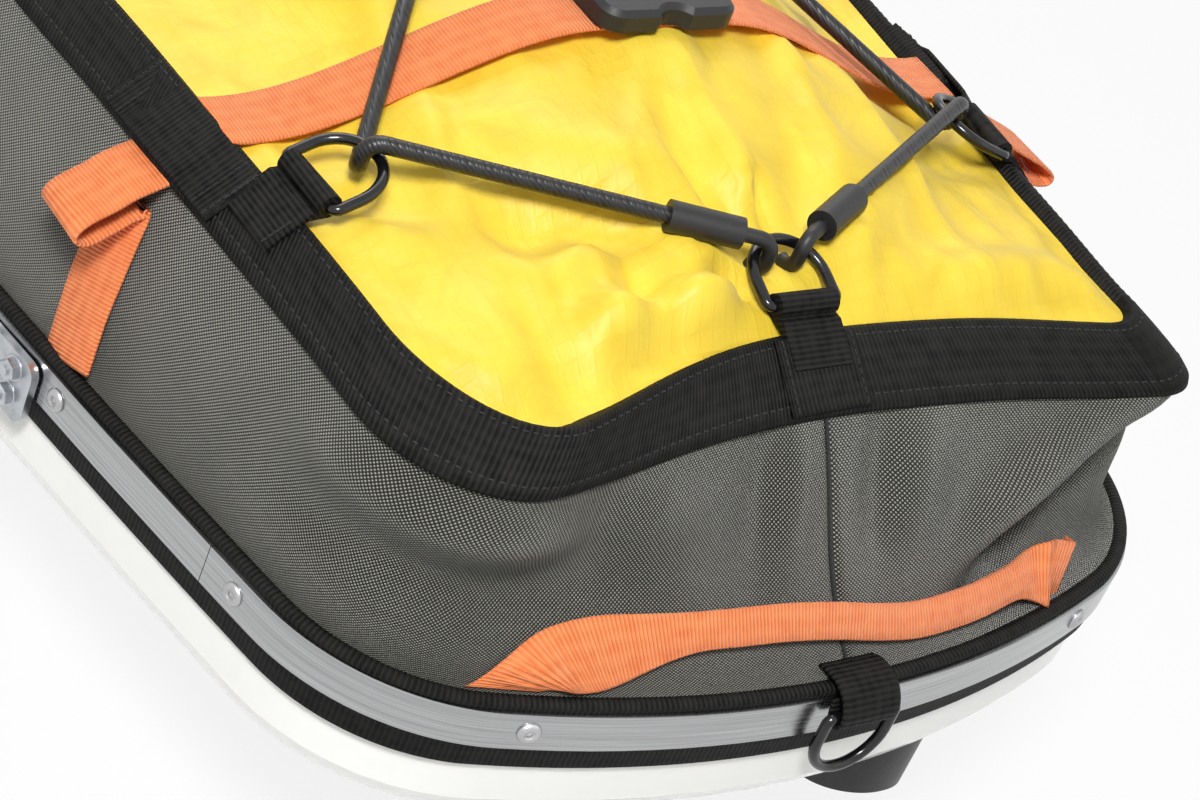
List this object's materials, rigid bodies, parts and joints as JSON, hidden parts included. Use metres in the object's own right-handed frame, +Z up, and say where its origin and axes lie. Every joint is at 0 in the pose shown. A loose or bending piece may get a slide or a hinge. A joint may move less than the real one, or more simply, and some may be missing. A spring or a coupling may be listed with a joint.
{
  "type": "pulk",
  "caption": "Snow sledge with a moulded hull on runners, a soft bag riveted to its rim under a metal strip, a laced cover, straps, rings and folding draw links.",
  "frame": {"origin": "middle of the footprint, on the floor under the runners", "axes": "+X forward along the keel, +Y to the right side seen from the front, +Z up"},
  "size_m": [1.4656, 0.4988, 0.2771],
  "materials": {
    "hull": "gloss gelcoat",
    "runner": "moulded, slightly worn",
    "strip": "brushed",
    "tape": "ribbed webbing",
    "bag": "coarse coated weave",
    "cover": "ripstop",
    "strap": "ribbed webbing",
    "buckle": "moulded",
    "ring": "gloss black",
    "cord": "braided cover over elastic",
    "zinc": "bright zinc"
  },
  "bodies": {
    "root": {"hull": "hull", "runner_left": "runner", "runner_right": "runner", "rim_strip_front": "strip", "rim_strip_left": "strip", "rim_strip_right": "strip", "rim_strip_rear": "strip", "rim_binding": "tape", "hem_band": "tape", "hem_loops": "tape", "rim_loop_front": "tape", "rim_loop_rear": "tape", "bag_left": "bag", "bag_right": "bag", "cover": "cover", "strap_front": "strap", "strap_mid_front": "strap", "strap_mid_rear": "strap", "strap_rear": "strap", "handle_front": "strap", "handle_rear": "strap", "buckle_front": "buckle", "buckle_mid_front": "buckle", "buckle_mid_rear": "buckle", "buckle_rear": "buckle", "cord_hooks": "buckle", "hem_rings": "ring", "cord_a": "cord", "cord_b": "cord", "bracket_left": "zinc", "bracket_right": "zinc", "pivot_bolt_left": "zinc", "pivot_bolt_right": "zinc"},
    "ring_front": {"rim_ring_front": "ring"},
    "ring_rear": {"rim_ring_rear": "ring"},
    "link_left": {"link_left": "zinc"},
    "link_right": {"link_right": "zinc"}
  },
  "joints": [
    {"name": "front_ring_swing", "type": "hinge", "parent": "root", "child": "ring_front", "pos_m": [0.7285, 0, 0.136], "axis": [0, -1, 0], "range_deg": [0, 150]},
    {"name": "rear_ring_swing", "type": "hinge", "parent": "root", "child": "ring_rear", "pos_m": [-0.7285, 0, 0.136], "axis": [0, 1, 0], "range_deg": [0, 150]},
    {"name": "left_link_swing", "type": "hinge", "parent": "root", "child": "link_left", "pos_m": [0.46457, -0.23219, 0.1288], "axis": [0, 0, 1], "range_deg": [0, 165]},
    {"name": "right_link_swing", "type": "hinge", "parent": "root", "child": "link_right", "pos_m": [0.46457, 0.23219, 0.1288], "axis": [0, 0, -1], "range_deg": [0, 165]}
  ]
}
